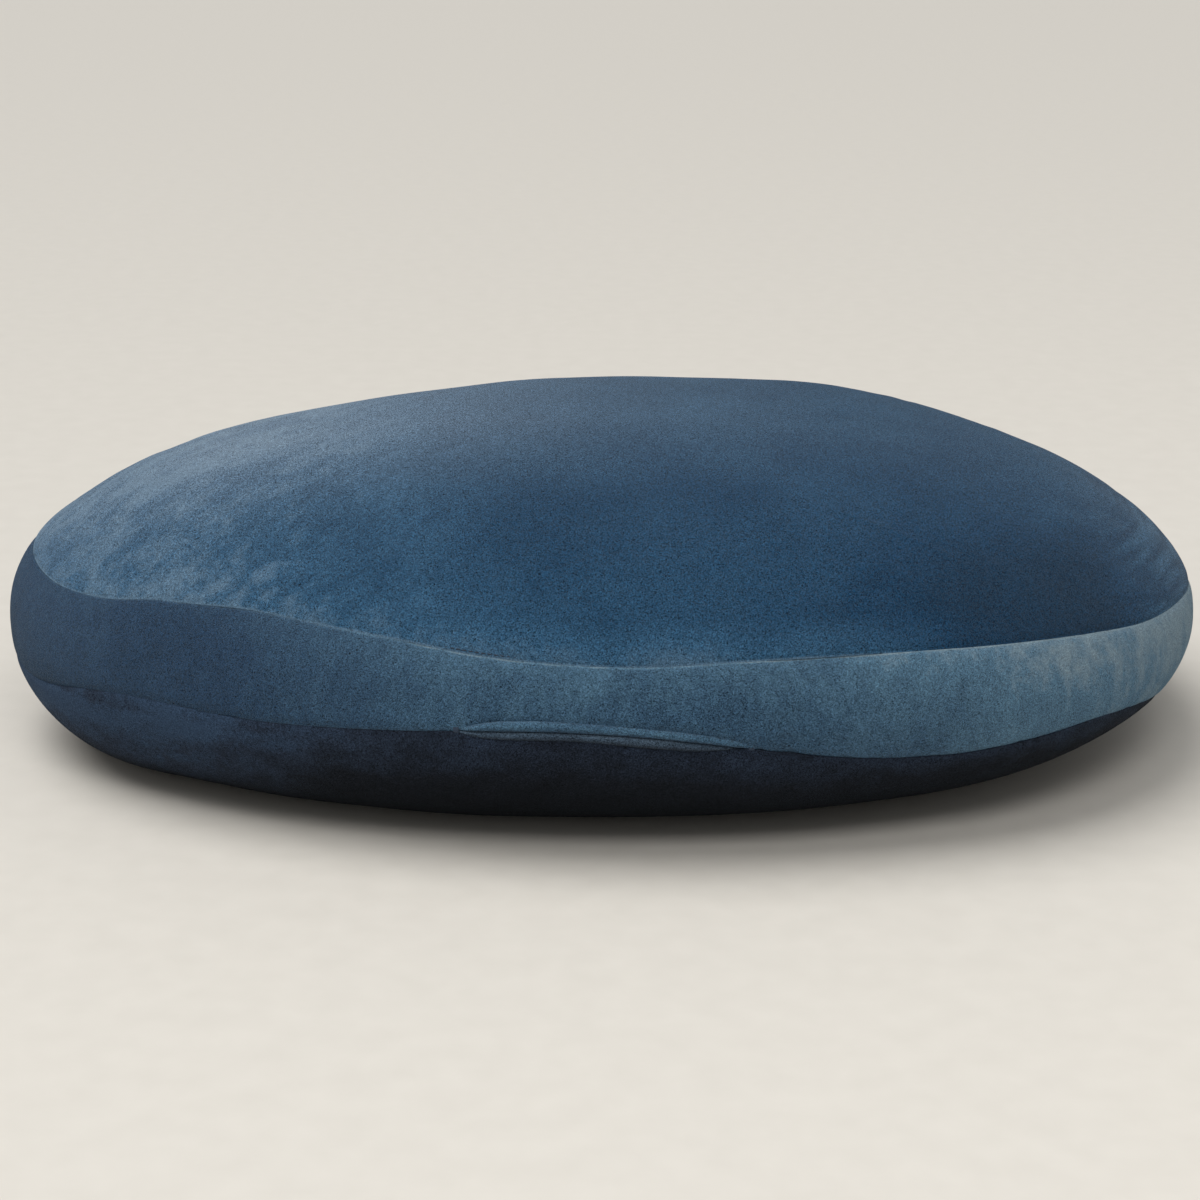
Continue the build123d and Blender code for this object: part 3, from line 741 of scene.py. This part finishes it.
class Finish:
    """A new procedural material, with short ways to add the nodes it uses."""

    def __init__(self, name):
        self.material = bpy.data.materials.new(name)
        self.material.use_nodes = True
        self.nodes = self.material.node_tree.nodes
        self.links = self.material.node_tree.links
        self.nodes.clear()
        output = self.nodes.new("ShaderNodeOutputMaterial")
        self.shader = self.nodes.new("ShaderNodeBsdfPrincipled")
        self.links.new(self.shader.outputs[0], output.inputs[0])

    def set(self, socket, value):
        if isinstance(value, bpy.types.NodeSocket):
            self.links.new(value, self.shader.inputs[socket])
        else:
            self.shader.inputs[socket].default_value = value

    def place(self, stretch=(1, 1, 1), turn=0.0):
        """Object coordinates, stretched along axes that are turned about Z."""
        coordinates = self.nodes.new("ShaderNodeTexCoord")
        mapping = self.nodes.new("ShaderNodeMapping")
        mapping.vector_type = "TEXTURE"
        mapping.inputs["Rotation"].default_value = (0, 0, turn)
        mapping.inputs["Scale"].default_value = stretch
        self.links.new(coordinates.outputs["Object"], mapping.inputs["Vector"])
        return mapping.outputs[0]

    def axis(self, name):
        coordinates = self.nodes.new("ShaderNodeTexCoord")
        split = self.nodes.new("ShaderNodeSeparateXYZ")
        self.links.new(coordinates.outputs["Object"], split.inputs[0])
        return split.outputs[name]

    def measure(self, name):
        node = self.nodes.new("ShaderNodeAttribute")
        node.attribute_name = name
        return node.outputs["Fac"]

    def vector(self, *parts):
        node = self.nodes.new("ShaderNodeCombineXYZ")
        for number, part in enumerate(parts):
            self.links.new(part, node.inputs[number])
        return node.outputs[0]

    def noise(self, vector, size, detail=2.0, rough=0.5, distortion=0.0):
        """Noise whose features are about that size, in metres."""
        node = self.nodes.new("ShaderNodeTexNoise")
        node.inputs["Scale"].default_value = 1 / size
        node.inputs["Detail"].default_value = detail
        node.inputs["Roughness"].default_value = rough
        node.inputs["Distortion"].default_value = distortion
        self.links.new(vector, node.inputs["Vector"])
        return node.outputs["Fac"]

    def remap(self, value, low, high, to_low, to_high, kind="LINEAR"):
        node = self.nodes.new("ShaderNodeMapRange")
        node.interpolation_type = kind
        for socket, number in zip(("From Min", "From Max", "To Min", "To Max"), (low, high, to_low, to_high)):
            node.inputs[socket].default_value = number
        self.links.new(value, node.inputs["Value"])
        return node.outputs["Result"]

    def math(self, kind, first, second):
        node = self.nodes.new("ShaderNodeMath")
        node.operation = kind
        for number, value in enumerate((first, second)):
            if isinstance(value, bpy.types.NodeSocket):
                self.links.new(value, node.inputs[number])
            else:
                node.inputs[number].default_value = value
        return node.outputs[0]

    def product(self, *values):
        total = values[0]
        for value in values[1:]:
            total = self.math("MULTIPLY", total, value)
        return total

    def vary(self, noise, amount, where=None):
        """A factor round 1 that follows a noise, as strongly as where says."""
        swing = self.remap(noise, 0.3, 0.7, -amount, amount, "SMOOTHSTEP")
        if where is not None:
            swing = self.math("MULTIPLY", swing, where)
        return self.math("ADD", swing, 1.0)

    def levels(self, value, stops):
        """A number that follows (place, level) stops; levels run from 0 to TOP_LEVEL."""
        first, last = stops[0][0], stops[-1][0]
        places = [(place - first) / (last - first) for place, level in stops]
        greys = [(level / TOP_LEVEL,) * 3 for place, level in stops]
        node = self.ramp_node(list(zip(places, greys)))
        self.links.new(self.remap(value, first, last, 0, 1), node.inputs[0])
        return self.math("MULTIPLY", node.outputs[0], TOP_LEVEL)

    def ramp_node(self, stops):
        node = self.nodes.new("ShaderNodeValToRGB")
        elements = node.color_ramp.elements
        while len(elements) < len(stops):
            elements.new(0.5)
        for element, (place, colour) in zip(elements, stops):
            element.position = place
            element.color = (*colour, 1)
        return node

    def ramp(self, value, stops):
        node = self.ramp_node(stops)
        self.links.new(value, node.inputs[0])
        return node.outputs[0]

    def scaled(self, colour, factor):
        node = self.nodes.new("ShaderNodeVectorMath")
        node.operation = "SCALE"
        self.links.new(colour, node.inputs[0])
        self.links.new(factor, node.inputs["Scale"])
        return node.outputs[0]

    def blend(self, colour, over, amount):
        """The colour, with another one laid over it by that amount."""
        node = self.nodes.new("ShaderNodeMix")
        node.data_type = "RGBA"
        self.links.new(amount, node.inputs["Factor"])
        self.links.new(colour, node.inputs[6])
        node.inputs[7].default_value = over
        return node.outputs[2]

    def bump(self, height, strength, distance, normal=None):
        node = self.nodes.new("ShaderNodeBump")
        node.inputs["Strength"].default_value = strength
        node.inputs["Distance"].default_value = distance
        self.links.new(height, node.inputs["Height"])
        if normal is not None:
            self.links.new(normal, node.inputs["Normal"])
        return node.outputs[0]


# tones of the pile at brightness 0, 1, 2 and so on
BLUE_TONES = ((0.0, 0.0, 0.0), (0.008, 0.044, 0.101), (0.033, 0.100, 0.187), (0.100, 0.182, 0.275))
BAND_TONES = (
    (0.0, 0.0, 0.0), (0.020, 0.050, 0.103), (0.052, 0.113, 0.188), (0.100, 0.204, 0.304),
    (0.225, 0.318, 0.385),
)
# the lower lip's velour, darker and greyer than the band's: painted shade on the downward-facing lip, tinted
# by light from the floor
LOWER_LIP_SHADED_TONES = ((0.0, 0.0, 0.0), (0.030, 0.043, 0.066), (0.068, 0.106, 0.155), (0.135, 0.200, 0.275))
# the bottom panel's velour, darker and greyer: painted shade under the cushion, tinted by light bounced from
# the floor
SHADED_BOTTOM_TONES = ((0.0, 0.0, 0.0), (0.0105, 0.0135, 0.0205), (0.026, 0.039, 0.067), (0.042, 0.076, 0.138))
PILE = 0.46 * MM
TUFT = 2.4 * MM
GREY_SHEEN = (0.79, 0.90, 1.0, 1)
BLUE_SHEEN = (0.64, 0.82, 1.0, 1)
# colour of the painted sheen laid over the top
PAINTED_SHEEN_COLOUR = (0.56, 0.66, 0.77, 1)
ARC_DRAW = 0.12  # draws the strokes out along the rim
# nap with painted light and shade in it, and painted sheen: (place in metres along X, Y or Z, level)
# where along the front the painted highlight on the rolled edge is strongest
ROLLED_HIGHLIGHT_ACROSS = ((-0.28, 0.2), (-0.08, 0.3), (-0.03, 0.8), (0.11, 1.0), (0.15, 0.2), (0.28, 0.0))
# brightness of the top: paler to the left and the back, partly nap and partly painted sheen and light
TOP_ACROSS = (
    (-0.28, 2.2), (-0.22, 2.3), (-0.19, 2.42), (-0.155, 2.15), (-0.10, 1.7), (-0.03, 1.28),
    (0.04, 1.22), (0.10, 1.16), (0.17, 1.10), (0.21, 1.18), (0.28, 1.65),
)
TOP_FORWARD = (
    (-0.20, 1.28), (-0.17, 1.14), (-0.14, 1.0), (-0.11, 0.98), (-0.07, 1.06), (-0.02, 1.17),
    (0.07, 1.2), (0.15, 1.45), (0.22, 1.5),
)
# how much painted sheen lies on the top, across it and from front to back
PAINTED_SHEEN_ACROSS = (
    (-0.28, 0.08), (-0.22, 0.17), (-0.18, 0.26), (-0.12, 0.22),
    (0.0, 0.085), (0.11, 0.03), (0.20, 0.03), (0.28, 0.10),
)
PAINTED_SHEEN_FORWARD = ((-0.16, 0.0), (-0.12, 0.05), (-0.10, 0.14), (-0.06, 0.52), (-0.02, 0.92), (0.2, 1.0))
# the band paler to the right: partly nap, partly painted light
BAND_ACROSS = (
    (-0.28, 0.92), (-0.16, 1.02), (-0.10, 1.6), (-0.06, 2.12), (0.02, 2.02),
    (0.10, 2.2), (0.17, 3.0), (0.22, 3.4), (0.28, 4.0),
)
# the bottom paler to the far left: partly nap, partly painted light bounced from the floor
BOTTOM_ACROSS = (
    (-0.28, 3.0), (-0.19, 2.9), (-0.165, 2.5), (-0.14, 1.75), (-0.08, 1.45),
    (0.0, 1.12), (0.04, 1.2), (0.09, 1.6), (0.16, 1.6), (0.28, 1.4),
)
# painted contact shadow: the bottom darkest just above the floor, paler up towards the seam
BOTTOM_SHADE_BY_HEIGHT = (
    (0.0, 1.0), (0.0015, 0.6), (0.004, 0.12), (0.02, 0.40),
    (0.033, 0.68), (0.042, 1.06), (0.05, 1.25), (0.06, 1.25),
)
# painted light on the lower left of the bottom, bounced up from the floor
BOTTOM_LEFT_BOUNCE_LIGHT = (
    (0.004, 1.3), (0.015, 2.0), (0.025, 1.9), (0.036, 1.35),
    (0.045, 1.12), (0.048, 0.82), (0.06, 0.8),
)


def velour(name, tones, brightness_of, sheen, tint, lay=1.0, painted_sheen_of=None):
    """Short-pile velour. brightness_of gives the panel's nap, with painted light and shade in it, and the
    last argument, if given, where a painted sheen is laid over the colour.

    lay draws the pile out along Y."""
    finish = Finish(name)
    pile = finish.noise(finish.place((1, lay, 1)), PILE, detail=1.0, rough=0.6, distortion=1.6)
    tuft = finish.noise(finish.place(), TUFT, distortion=0.4)
    brightness = finish.product(finish.vary(tuft, 0.05), brightness_of(finish))
    stops = [(number / (len(tones) - 1), tone) for number, tone in enumerate(tones)]
    colour = finish.ramp(finish.remap(brightness, 0, len(tones) - 1, 0, 1), stops)
    # painted sheen: pale blue-grey laid over the colour where the pile catches grazing light
    if painted_sheen_of:
        colour = finish.blend(colour, PAINTED_SHEEN_COLOUR, painted_sheen_of(finish))
    depth = finish.remap(brightness, 2.0, 3.6, 1.0, 0.5)  # the palest pile shows the least shadow
    finish.set("Base Color", finish.scaled(colour, finish.vary(pile, 0.95, depth)))
    finish.set("Roughness", finish.remap(pile, 0.3, 0.7, 0.95, 0.75))
    finish.set("Specular IOR Level", 0.06)
    finish.set("Sheen Weight", sheen)
    finish.set("Sheen Roughness", 0.30)
    finish.set("Sheen Tint", tint)
    soft = finish.bump(tuft, 0.25, 1.0 * MM)
    finish.set("Normal", finish.bump(pile, 1.0, 0.9 * MM, soft))
    return finish.material


def seam_fuzz_highlight(finish, amount, reach=1.1 * MM):
    """Painted highlight: the pile that stands up along the seam and catches the light, in uneven stretches.
    """
    near = finish.remap(finish.measure("inland"), 0.2 * MM, reach, 1, 0, "SMOOTHSTEP")
    patchy = finish.remap(finish.noise(finish.place(), 14 * MM), 0.35, 0.6, 0.3, 1)
    return finish.math("ADD", finish.product(near, patchy, amount), 1.0)


def rolled_edge_highlight(finish, amount):
    """Painted highlight: each panel turns over into the front seam and catches more light there."""
    near = finish.remap(finish.measure("inland"), 0, 20 * MM, 1, 0)
    in_front = finish.levels(finish.axis("X"), ROLLED_HIGHLIGHT_ACROSS)
    return finish.math("ADD", finish.product(near, in_front, amount), 1.0)


def top_nap_and_light(finish):
    """Brushed streaks on the left, strokes along the rim on the right, paler towards the back. The paler left
    and back are partly nap and partly painted sheen and light, and the front right has a strip of painted
    shade.
    """
    x, y = finish.axis("X"), finish.axis("Y")
    inland = finish.measure("inland")
    on_left = finish.remap(x, -0.04, -0.16, 0.25, 1, "SMOOTHSTEP")
    on_right = finish.remap(x, 0.205, 0.245, 0, 1, "SMOOTHSTEP")
    brushed = finish.place((3.2, 1, 1), math.radians(48))
    dappled = finish.place((1.8, 1, 1), math.radians(60))
    streaks = finish.noise(brushed, 15 * MM, detail=3.0, rough=0.6, distortion=0.5)
    mottles = finish.noise(dappled, 7 * MM, detail=3.0, rough=0.6, distortion=0.6)
    clouds = finish.noise(finish.place(), 60 * MM)
    rim = finish.vector(inland, finish.math("MULTIPLY", x, ARC_DRAW), finish.math("MULTIPLY", y, ARC_DRAW))
    arcs = finish.noise(rim, 8 * MM, rough=0.6)
    near_rim = finish.product(on_right, finish.remap(inland, 0.10, 0.05, 0, 1, "SMOOTHSTEP"))
    across = finish.levels(x, TOP_ACROSS)
    forward = finish.levels(y, TOP_FORWARD)
    shaded = finish.product(
        finish.levels(x, ((0.09, 0.0), (0.15, 1.0), (0.215, 1.0), (0.24, 0.0))),
        finish.remap(inland, 0.075, 0.020, 0, -0.38, "SMOOTHSTEP"),
    )
    return finish.product(
        across,
        forward,
        finish.math("ADD", shaded, 1.0),
        finish.vary(streaks, 0.20, on_left),
        finish.vary(mottles, 0.13, on_left),
        finish.vary(clouds, 0.10),
        finish.vary(arcs, 0.35, near_rim),
        rolled_edge_highlight(finish, 0.60),
        seam_fuzz_highlight(finish, 0.55),
    )


def top_painted_sheen(finish):
    """Painted sheen: how much pale blue-grey is laid over the top, most towards the back and the left."""
    across = finish.levels(finish.axis("X"), PAINTED_SHEEN_ACROSS)
    forward = finish.levels(finish.axis("Y"), PAINTED_SHEEN_FORWARD)
    return finish.product(across, forward)


def band_nap_and_light(finish):
    """Paler to the right and along the top, with soft upright mottles. The paler top is painted light from
    above, the paler right partly nap and partly painted light, and the hollow by the zip painted shade.
    """
    x = finish.axis("X")
    mottles = finish.noise(finish.place((1, 1, 2.0)), 9 * MM, detail=3.0, rough=0.6, distortion=0.4)
    clouds = finish.noise(finish.place((1.6, 1.6, 1)), 32 * MM)
    across = finish.levels(x, BAND_ACROSS)
    # painted shade in the hollow right of the zip, just above its lips
    hollow_shade = finish.product(
        finish.levels(x, ((0.03, 0.0), (0.058, 1.0), (0.072, 1.0), (0.11, 0.6), (0.16, 0.0))),
        finish.remap(finish.measure("below"), 4 * MM, 20 * MM, -0.16, 0, "SMOOTHSTEP"),
    )
    # painted light: the band paler at its top, where light from above falls
    upright = finish.remap(finish.measure("inland"), 0.0, 0.04, 1.08, 0.92)
    return finish.product(
        across,
        upright,
        finish.math("ADD", hollow_shade, 1.0),
        finish.vary(mottles, 0.10),
        finish.vary(clouds, 0.08),
        rolled_edge_highlight(finish, 0.18),
        seam_fuzz_highlight(finish, 0.5),
    )


def bottom_nap_and_shade(finish):
    """As blue as the band at the far left, near black by the floor in front, in soft blotches. The black by
    the floor is painted contact shadow, and the paler far left is partly painted light bounced from the
    floor.
    """
    x, z = finish.axis("X"), finish.axis("Z")
    mottles = finish.noise(finish.place((1.4, 1.4, 1)), 11 * MM, detail=3.0, rough=0.6, distortion=0.5)
    clouds = finish.noise(finish.place((2, 2, 1)), 40 * MM)
    across = finish.levels(x, BOTTOM_ACROSS)
    # painted contact shadow, darker towards the floor
    upright = finish.levels(z, BOTTOM_SHADE_BY_HEIGHT)
    on_left = finish.remap(x, -0.10, -0.15, 0, 1, "SMOOTHSTEP")
    # painted light bounced from the floor onto the lower left
    turned = finish.levels(z, BOTTOM_LEFT_BOUNCE_LIGHT)
    left_bounce_light = finish.product(on_left, finish.math("SUBTRACT", turned, 1.0))
    return finish.product(
        across,
        upright,
        finish.math("ADD", left_bounce_light, 1.0),
        finish.vary(mottles, 0.16),
        finish.vary(clouds, 0.18),
    )


def lip_light_and_shade(stops):
    """Painted light and shade on a folded lip, as brightness levels from its shaded underside (-1) to its lit
    top (1).
    """

    def nap(finish):
        worn = finish.noise(finish.place((3, 3, 1)), 5 * MM, detail=3.0)
        return finish.product(finish.vary(worn, 0.12), finish.levels(finish.measure("rise"), stops))

    return nap


def yarn(name, colour):
    """Twisted sewing thread: slanting ply lines with a satin finish."""
    finish = Finish(name)
    ply = finish.nodes.new("ShaderNodeTexWave")
    ply.bands_direction = "DIAGONAL"
    ply.inputs["Scale"].default_value = 900
    ply.inputs["Distortion"].default_value = 1.0
    finish.links.new(finish.place(), ply.inputs["Vector"])
    lines = ply.outputs["Fac"]
    finish.set("Base Color", finish.ramp(lines, ((0, tuple(c * 0.5 for c in colour)), (1, colour))))
    finish.set("Roughness", finish.remap(lines, 0, 1, 0.7, 0.5))
    finish.set("Normal", finish.bump(lines, 0.5, 0.1 * MM))
    return finish.material


def woven(name, colour, thread):
    """Plain woven cloth with its yarns about that far apart, a little uneven."""
    finish = Finish(name)
    ways = []
    for direction in ("X", "Z"):
        wave = finish.nodes.new("ShaderNodeTexWave")
        wave.bands_direction = direction
        wave.inputs["Scale"].default_value = 1 / (3.2 * thread)
        wave.inputs["Distortion"].default_value = 0.8
        finish.links.new(finish.place(), wave.inputs["Vector"])
        ways.append(wave.outputs["Fac"])
    weave = finish.math("MULTIPLY", *ways)
    lint = finish.noise(finish.place(), 6 * MM, detail=3.0)
    from_weave = finish.remap(weave, 0, 1, 0.25, 0.75)
    level = finish.math("ADD", from_weave, finish.remap(lint, 0.3, 0.7, -0.15, 0.15))
    finish.set("Base Color", finish.ramp(level, ((0, tuple(c * 0.65 for c in colour)), (1, colour))))
    finish.set("Roughness", finish.remap(lint, 0.3, 0.7, 0.9, 0.7))
    finish.set("Normal", finish.bump(weave, 0.5, 0.2 * MM))
    return finish.material


def moulded(name, colour, rough, metallic=0.0):
    """Nylon or die-cast metal: slight mottling and fine scratches."""
    finish = Finish(name)
    mottle = finish.noise(finish.place(), 4 * MM, detail=4.0)
    scratch = finish.noise(finish.place((6, 1, 1), turn=0.3), 1.2 * MM)
    paler = tuple(min(1, c * 1.3) for c in colour)
    finish.set("Base Color", finish.ramp(mottle, ((0.3, colour), (0.7, paler))))
    finish.set("Roughness", finish.remap(mottle, 0.3, 0.7, rough - 0.06, rough + 0.08))
    finish.set("Metallic", metallic)
    finish.set("Normal", finish.bump(scratch, 0.25, 0.05 * MM))
    return finish.material


def loose_beads(name, colour):
    """Foamed beads, packed together."""
    finish = Finish(name)
    cells = finish.nodes.new("ShaderNodeTexVoronoi")
    cells.inputs["Scale"].default_value = 500
    finish.links.new(finish.place(), cells.inputs["Vector"])
    gap = cells.outputs["Distance"]
    # darker towards each bead's edge: painted shade between the packed beads
    finish.set("Base Color", finish.ramp(gap, ((0, colour), (0.8, tuple(c * 0.7 for c in colour)))))
    finish.set("Roughness", finish.remap(gap, 0, 1, 0.6, 0.9))
    finish.set("Normal", finish.bump(gap, 0.8, 1.0 * MM))
    return finish.material


def wear(piece, material):
    piece.data.materials.clear()
    piece.data.materials.append(material)


top_velour = velour("velour_top", BLUE_TONES, top_nap_and_light, 0.12, GREY_SHEEN, lay=1.8, painted_sheen_of=top_painted_sheen)
band_velour = velour("velour_band", BAND_TONES, band_nap_and_light, 0.20, BLUE_SHEEN)
shaded_bottom_velour = velour("velour_bottom_shaded", SHADED_BOTTOM_TONES, bottom_nap_and_shade, 0.03, BLUE_SHEEN)
upper_lip_light_and_shade = lip_light_and_shade(((-1, 1.1), (-0.4, 2.0), (0.3, 2.45), (1, 2.2)))
upper_lip_velour = velour("velour_lip_upper", BAND_TONES, upper_lip_light_and_shade, 0.2, BLUE_SHEEN)
lower_lip_light_and_shade = lip_light_and_shade(((-1, 0.5), (-0.4, 1.15), (0.4, 2.0), (1, 2.4)))
shaded_lower_lip_velour = velour("velour_lip_lower_shaded", LOWER_LIP_SHADED_TONES, lower_lip_light_and_shade, 0.1, BLUE_SHEEN)
cover_yarn = yarn("cover_thread", (0.012, 0.030, 0.060))
bartack_yarn = yarn("bartack_thread", (0.018, 0.040, 0.080))
zip_yarn = yarn("zip_thread", (0.020, 0.045, 0.085))
bag_yarn = yarn("bag_thread", (0.75, 0.75, 0.72))
tape_cloth = woven("zip_tape_cloth", (0.022, 0.045, 0.090), 0.4 * MM)
bag_cloth = woven("inner_bag_cloth", (0.78, 0.78, 0.76), 0.9 * MM)
label_cloth = woven("label_ribbon", (0.82, 0.82, 0.80), 0.3 * MM)
coil_nylon = moulded("coil_nylon", (0.022, 0.045, 0.090), 0.4)
cast_metal = moulded("cast_zip_metal", (0.040, 0.065, 0.110), 0.38, 0.8)
foam_beads = loose_beads("foam_beads", (0.88, 0.88, 0.86))

# ---- the pieces: mesh, material, slot, and the CAD node it stands for ----
PANELS = (
    (top_panel(), top_velour, "cover_velour", "cover_top_panel"),
    (band(), band_velour, "cover_velour", "cover_side_band"),
    (bottom_panel(), shaded_bottom_velour, "cover_velour", "cover_bottom_panel"),
)
TRIMS = (
    (lip("lip_upper", 1), upper_lip_velour, "lip_velour", "zip_lip_upper"),
    (lip("lip_lower", -1), shaded_lower_lip_velour, "lip_velour", "zip_lip_lower"),
    (bartack("bartack_left", -1), bartack_yarn, "seam_thread", "zip_bartack_left"),
    (bartack("bartack_right", 1), bartack_yarn, "seam_thread", "zip_bartack_right"),
    (
        seam_stitches("top_seam_stitches", top_seam_height, 0.9 * MM, top_stitch_sink),
        cover_yarn, "seam_thread", "top_seam_thread",
    ),
    (
        seam_stitches("lower_seam_stitches", lower_seam_height, 0, lower_stitch_sink),
        cover_yarn, "seam_thread", "lower_seam_thread",
    ),
    (closing_stitches(), cover_yarn, "seam_thread", "band_closing_thread"),
)
for piece, material, slot, node in PANELS + TRIMS:
    wear(piece, material)
    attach(piece, "root")
    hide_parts(node)

CARRIED = {
    "zip_tape_upper": tape_cloth,
    "zip_tape_lower": tape_cloth,
    "zip_coil_upper": coil_nylon,
    "zip_coil_lower": coil_nylon,
    "zip_bottom_stop": cast_metal,
    "zip_top_stops": cast_metal,
    "zip_stitching_upper": zip_yarn,
    "zip_stitching_lower": zip_yarn,
    "zip_slider": cast_metal,
    "care_label": label_cloth,
    "inner_bag_top": bag_cloth,
    "inner_bag_bottom": bag_cloth,
    "inner_bag_seam_thread": bag_yarn,
    "bead_fill": foam_beads,
}
for node, material in CARRIED.items():
    wear(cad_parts[node], material)


# ---- stage, light and camera ----
FLOOR_HALF = 9.0
FLOOR_TONES = ((0.3, (0.615, 0.590, 0.545)), (0.7, (0.635, 0.610, 0.565)))
LIGHT_COLOUR = (1.0, 0.985, 0.96)


def pale_floor():
    finish = Finish("pale_floor")
    grain = finish.noise(finish.place(), 15 * MM, detail=3.0)
    finish.set("Base Color", finish.ramp(grain, FLOOR_TONES))
    finish.set("Roughness", finish.remap(grain, 0.3, 0.7, 0.62, 0.70))
    return finish.material


corners = [(x * FLOOR_HALF, y * FLOOR_HALF, 0) for x, y in ((-1, -1), (1, -1), (1, 1), (-1, 1))]
floor = mesh_object("floor", corners, [(0, 1, 2, 3)], soft=False)
wear(floor, pale_floor())


def aim(thing, place, target):
    thing.location = place
    thing.rotation_euler = (Vector(target) - Vector(place)).to_track_quat("-Z", "Y").to_euler()
    bpy.context.scene.collection.objects.link(thing)


def softbox(name, place, size, power):
    light = bpy.data.lights.new(name, "AREA")
    light.shape = "RECTANGLE"
    light.size, light.size_y = size
    light.energy = power
    light.color = LIGHT_COLOUR
    aim(bpy.data.objects.new(name, light), place, (0, 0, 0.05))


daylight = bpy.data.lights.new("daylight", "SUN")
daylight.energy = 2.2
daylight.angle = math.radians(50)
daylight.color = LIGHT_COLOUR
aim(bpy.data.objects.new("daylight", daylight), (-1.2, 0.2, 2.6), (0, 0, 0))
softbox("front_softbox", place=(0.2, -1.6, 1.9), size=(1.2, 0.8), power=16)

world = bpy.data.worlds.new("studio")
world.use_nodes = True
background = world.node_tree.nodes["Background"]
background.inputs["Color"].default_value = (0.86, 0.86, 0.85, 1)
background.inputs["Strength"].default_value = 0.48
bpy.context.scene.world = world
bpy.context.scene.view_settings.view_transform = "Standard"

CAMERA_GAP = 0.9311  # in front of the cushion
CAMERA_HEIGHT = 0.3984
CAMERA_TILT = 16.993
lens = bpy.data.cameras.new("camera")
lens.lens = 75
lens.sensor_width = 36
lens.clip_start = 0.05
camera = bpy.data.objects.new("camera", lens)
camera.location = (-0.0013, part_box("cover_side_band")[0].y - CAMERA_GAP, CAMERA_HEIGHT)
camera.rotation_euler = (math.radians(90 - CAMERA_TILT), 0, 0)
bpy.context.scene.collection.objects.link(camera)
bpy.context.scene.camera = camera
